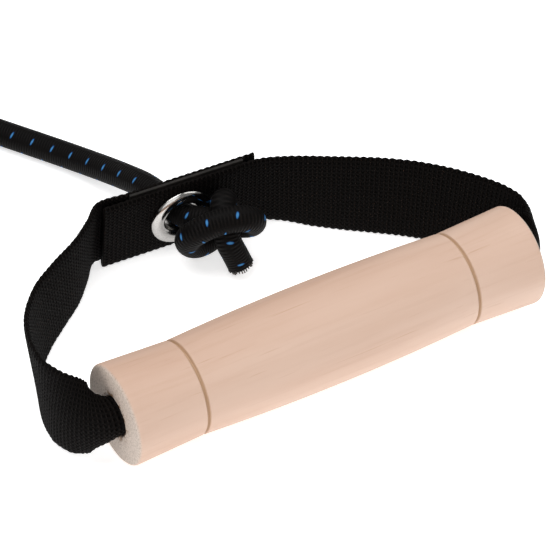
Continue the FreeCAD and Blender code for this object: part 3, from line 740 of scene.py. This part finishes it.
def even(line, step):
    """a line resampled at equal steps along its length"""
    gap = np.linalg.norm(np.diff(line, axis=0), axis=1)
    keep = np.concatenate([[True], gap > 1e-8])
    line, gap = line[keep], gap[gap > 1e-8]
    at = np.concatenate([[0], np.cumsum(gap)])
    want = np.linspace(0, at[-1], int(at[-1] / step) + 1)
    return np.stack([np.interp(want, at, line[:, k]) for k in range(3)], axis=1), want


def tube_mesh(name, line, radius, step=0.0006, sides=28, ends=None):
    """a circle carried along a line, its first side direction slid along without twist"""
    line, at = even(line, step)
    tangent = unit(np.gradient(line, axis=0))
    side = np.zeros_like(line)
    side[0] = unit(np.cross(tangent[0], [0.0, 0.0, 1.0]))
    # The side direction depends on the one before it, so this runs along the line.
    for i in range(1, len(line)):
        moved = side[i - 1] - tangent[i] * (side[i - 1] @ tangent[i])
        side[i] = moved / np.linalg.norm(moved)
    other = np.cross(tangent, side)
    angle = np.linspace(0, 2 * math.pi, sides + 1)[:-1]
    size = radius * np.ones(len(line)) if ends is None else radius * ends(at, at[-1])
    ring = (side[:, None, :] * np.cos(angle)[None, :, None]
            + other[:, None, :] * np.sin(angle)[None, :, None])
    points = line[:, None, :] + ring * size[:, None, None]
    turn = np.linspace(0, 1, sides + 1)
    uv = np.stack([np.broadcast_to(at[:, None], (len(at), sides + 1)),
                   np.broadcast_to(turn[None, :], (len(at), sides + 1))], axis=-1)
    return grid_mesh(name, points, uv, caps=True), line, at[-1]


# %% [markdown]
# The cord leaves the eyelet, settles onto the ground and runs off to the left behind the loop, where
# its spare length is wound in a neat coil for storage.  The coil is two turns on two: each turn
# moves to the next place over a short arc, and no two of those arcs are side by side.

# %% the cord's route
EYELET = on_lap(0, 2.2, EYELET_UP)
CORD_AXIS = unit(np.array([-0.07, 0.995, -0.01]))
COIL = from_grip(-90.5, 145.8, 0)
COIL_FROM, COIL_TURN = 36, 1250  # degrees: where the cord joins the coil, and how far it winds
COIL_START = math.radians(COIL_FROM)
# turned so far in degrees, distance from the coil's middle, height of the cord's middle
WINDING = np.array([(0, 46, 5), (305, 46, 5), (357, 46, 13), (608, 46, 13), (660, 38, 13),
                    (905, 38, 13), (957, 38, 5), (COIL_TURN, 38, 5)])


def coil_points():
    """one point each 15 degrees of turn, easing from one place in the winding to the next"""
    turned = np.arange(15, COIL_TURN - 10, 15)
    k = np.clip(np.searchsorted(WINDING[:, 0], turned, side="right") - 1, 0, len(WINDING) - 2)
    t = (turned - WINDING[k, 0]) / (WINDING[k + 1, 0] - WINDING[k, 0])
    ease = (t * t * (3 - 2 * t))[:, None]
    place = WINDING[k, 1:] * (1 - ease) + WINDING[k + 1, 1:] * ease
    angle = COIL_START + np.radians(turned)
    return COIL + np.stack([place[:, 0] * np.cos(angle), place[:, 0] * np.sin(angle), place[:, 1]],
                           axis=1) / 1000


def around_coil(degrees, radius, height):
    """a point given by its angle and distance from the coil's middle"""
    a = math.radians(degrees)
    return COIL + np.array([radius * math.cos(a), radius * math.sin(a), height]) / 1000


into_coil = around_coil(COIL_FROM, 46, 5)
lead_heading = np.array([-math.sin(COIL_START), math.cos(COIL_START), 0])
CORD_POINTS = np.vstack([
    EYELET - CORD_AXIS * 0.0075,
    EYELET + CORD_AXIS * 0.0115,
    from_grip(-11.4, 96.9, 8.4),
    from_grip(-16.1, 112.2, 4.9),
    from_grip(-24.0, 126.4, 4.3),
    from_grip(-33.4, 141.4, 4.3),
    into_coil - lead_heading * 0.014,
    into_coil,
    coil_points(),
    around_coil(206, 38, 5.0), around_coil(228, 34.5, 4.5), around_coil(256, 28.5, 4.3),
    around_coil(292, 21.5, 5.2), around_coil(338, 14.0, 8.2)])

cord_line = nurbs_line(CORD_POINTS)


def slim_ends(at, whole):
    """share of the full thickness: 0.38 at the start and 0.9 at the end, full a few mm further in"""
    return 1 - 0.62 * np.clip(1 - at / 0.0065, 0, 1) - 0.1 * np.clip(1 - (whole - at) / 0.004, 0, 1)


# Both ends run on inside the knots, so they are slimmer there.
cord_mesh, cord_path, CORD_LENGTH = tube_mesh("elastic_cord", cord_line, CORD_RADIUS, ends=slim_ends)
cord = add_piece("elastic_cord", cord_mesh, SHEATH, "cord")
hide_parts("cord_lead", "cord_coil", "cord_end")
print("cord between its knots", round(CORD_LENGTH * 1000), "mm")

# %% [markdown]
# The stopper is an overhand knot pulled up against the eyelet.  A formula for a trefoil gives loops
# that look knotted and slip apart when pulled, so this one is listed point by point, as it is tied: out of
# the hole and across, back over the front, round the left and behind, up over its own start, then
# down through the loop.  Rubber cord gives way where it is pulled tight, so its turns press in.

# %% laying a knot
# millimetres from the knot's middle: to the right, up, and out of the knot's face
KNOT_LAY = np.array([
    (-2.5, 1.8, -2.6), (4, 0.6, -4.0), (9, 0.4, -3.6), (10.2, 1.8, 1.2), (5.6, 2.2, 5.4),
    (-0.5, 1.0, 6.2), (-6.4, -1.6, 4.8), (-10, -4.2, 0), (-7.6, -6, -5.2), (-2.2, -3.4, -8.8),
    (0.8, 3.2, -8.6), (1.6, 7.6, -4.2), (0.8, 6.6, 1.2), (1.4, 0.4, 1.4), (2.4, -4.6, 0.6),
    (4.4, -8, -2.0), (6, -11.2, -4.0)])
KNOT_RADIUS = 0.0039
FACE_RIGHT, FACE_UP, FACE_OUT = (0.860, -0.510, 0), (0.337, 0.569, 0.750), (-0.3824, -0.6455, 0.6612)


def lay_knot(middle, right, up, out):
    """the laid points along three directions: middle + right times a + up times b + out times c"""
    return middle + KNOT_LAY @ unit(np.array([right, up, out], float)) / 1000


# %% the front knot
KNOT = from_grip(-1.3, 54.8, 14.7)
front_lay = lay_knot(KNOT, FACE_RIGHT, FACE_UP, FACE_OUT)
front_points = np.vstack([EYELET + CORD_AXIS * 0.001, EYELET - CORD_AXIS * 0.0045, front_lay])
TAIL_END = front_lay[-1]
TAIL_AXIS = unit(front_lay[-1] - front_lay[-2])
knot_mesh, _, FRONT_LENGTH = tube_mesh(
    "front_stopper_knot", nurbs_line(front_points), KNOT_RADIUS, 0.0005)
front_knot = add_piece("front_stopper_knot", knot_mesh, SHEATH, "cord")
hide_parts("front_knot")

# %% the far knot
# The same knot, mirrored, lies on its back, so that its start meets the end of the coil's cord.
FAR_KNOT = COIL + np.array([13.7, 5.1, 12.8]) / 1000
far_heading = unit(CORD_POINTS[-1] - CORD_POINTS[-2])
far_lay = lay_knot(FAR_KNOT, (0.31, 0.95, 0), (0.95, -0.31, 0), (0, 0, 1))
far_entry = [CORD_POINTS[-1] + far_heading * reach for reach in (-0.005, 0, 0.002)]
far_points = np.vstack([far_entry, far_lay])
far_mesh, _, FAR_LENGTH = tube_mesh(
    "far_stopper_knot", nurbs_line(far_points), KNOT_RADIUS, 0.0005)
far_knot = add_piece("far_stopper_knot", far_mesh, SHEATH, "cord")
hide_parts("far_knot")
for knot, length in ((front_knot, FRONT_LENGTH), (far_knot, FAR_LENGTH)):
    print(knot.name, "holds", round(length * 1000), "mm of cord and its lowest point is at",
          round(points_of(knot.data)[:, 2].min() * 1000, 2), "mm")

# %% [markdown]
# The tail is cut, so the bundle of rubber strands inside the sheath shows at its end, and the cut
# threads of the sheath spread round it.

# %% the rubber strands
def make_rubber():
    """dark natural rubber, dusty where it was cut"""
    tones = (0.3, (0.020, 0.017, 0.015)), (0.7, (0.075, 0.064, 0.053))
    return mottled("rubber", (0.05, 0.044, 0.038), 0.7, (700, 3000), tones, 0.00006, 0.6)[0]


def strands_mesh(name):
    """nineteen small tubes in a hexagonal bundle and a ring of thin threads, each cut at its own length"""
    across = unit(np.cross(TAIL_AXIS, [0.0, 0.0, 1.0]))
    upward = np.cross(across, TAIL_AXIS)
    meshes = []
    # tubes in the ring, distance out, how far they splay at the tip, how far they stand out, thickness
    rings = [(1, 0.0, 0.0, 0.0002, 0.00046), (6, 0.00105, 0.0, 0.0003, 0.00046),
             (12, 0.0021, 0.0001, 0.0003, 0.00046), (30, 0.0032, 0.0007, 0.0009, 0.00020)]
    for ring, (count, distance, splay, reach, thick) in enumerate(rings):
        for k in range(count):
            a = 2 * math.pi * k / count + 0.3 * ring
            outward = across * math.cos(a) + upward * math.sin(a)
            uneven = 0.5 + 0.5 * math.sin(5 * k + 2.3 * ring)
            base = TAIL_END - TAIL_AXIS * 0.003 + outward * distance
            tip = (TAIL_END + TAIL_AXIS * reach * (0.5 + uneven)
                   + outward * (distance + splay * (1 - uneven)))
            meshes.append(tube_mesh("strand", np.array([base, tip]), thick, 0.0008, 8)[0])
    return join_meshes(name, meshes)


def join_meshes(name, meshes):
    """several meshes put end to end in one"""
    vertices, faces, shift = [], [], 0
    for mesh in meshes:
        vertices.append(points_of(mesh))
        faces += [[v + shift for v in polygon.vertices] for polygon in mesh.polygons]
        shift += len(mesh.vertices)
        bpy.data.meshes.remove(mesh)
    joined = bpy.data.meshes.new(name)
    joined.from_pydata(np.vstack(vertices).tolist(), [], faces)
    joined.polygons.foreach_set("use_smooth", np.ones(len(joined.polygons), bool))
    joined.update()
    return joined


strands = add_piece("rubber_strands", strands_mesh("rubber_strands"), make_rubber(), "cord")
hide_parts("tail_core")

# %% [markdown]
# A plain strip holds the coil for storage.  It keeps the frame's own shape, with a soft plastic skin.

# %% the tie finish
def make_tie():
    """black plastic with a slight sheen"""
    tones = (0.3, (0.012, 0.012, 0.012)), (0.7, (0.032, 0.031, 0.030))
    return mottled("tie", (0.02, 0.02, 0.02), 0.5, (240, 1800), tones, 0.00006, 0.6)[0]


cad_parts["coil_tie"].data.materials.clear()
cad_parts["coil_tie"].data.materials.append(make_tie())

# %% [markdown]

# %% [markdown]
# A plain pale floor, soft light from large lamps and a bright room, and a long lens about a metre
# away, which looks down on the handle from the front left.

# %% floor, light and camera
bpy.ops.mesh.primitive_plane_add(size=6, location=(0, 0, 0))
floor = bpy.context.object
floor.name = "floor"
floor_finish, _, _, floor_shader = new_material("pale_floor", (0.93, 0.93, 0.93), 0.9)
# The floor glows a little, which keeps it near white under the handle.
floor_shader.inputs["Emission Color"].default_value = (1, 1, 1, 1)
floor_shader.inputs["Emission Strength"].default_value = 0.60
floor.data.materials.append(floor_finish)

scene = bpy.context.scene
scene.view_settings.view_transform = "Standard"
world = bpy.data.worlds.new("room")
scene.world = world
world.use_nodes = True
background = world.node_tree.nodes["Background"]
background.inputs["Color"].default_value = (1, 1, 1, 1)
background.inputs["Strength"].default_value = 0.25


def add_lamp(name, place, aim, size, power):
    """a square area lamp that points at aim"""
    data = bpy.data.lights.new(name, "AREA")
    data.size, data.energy = size, power
    lamp = bpy.data.objects.new(name, data)
    lamp.location = place
    lamp.rotation_euler = (Vector(aim) - Vector(place)).to_track_quat("-Z", "Y").to_euler()
    scene.collection.objects.link(lamp)


add_lamp("key", (-0.25, 0.20, 1.15), (0, 0, 0), 1.0, 11)
add_lamp("fill", (0.75, -0.10, 0.85), (0, 0, 0), 0.8, 3)
add_lamp("front", (-0.45, -0.75, 0.65), (0, 0, 0), 1.0, 4)

camera_data = bpy.data.cameras.new("camera")
camera_data.sensor_width = 36
camera_data.lens = 221.5
camera_data.clip_start = 0.05
camera = bpy.data.objects.new("camera", camera_data)
forward = Vector((0.3824, 0.6455, -0.6612))
camera.location = Vector(from_grip(-372.0, -604.4, 660.75).tolist())
camera.rotation_euler = forward.to_track_quat("-Z", "Y").to_euler()
scene.collection.objects.link(camera)
scene.camera = camera
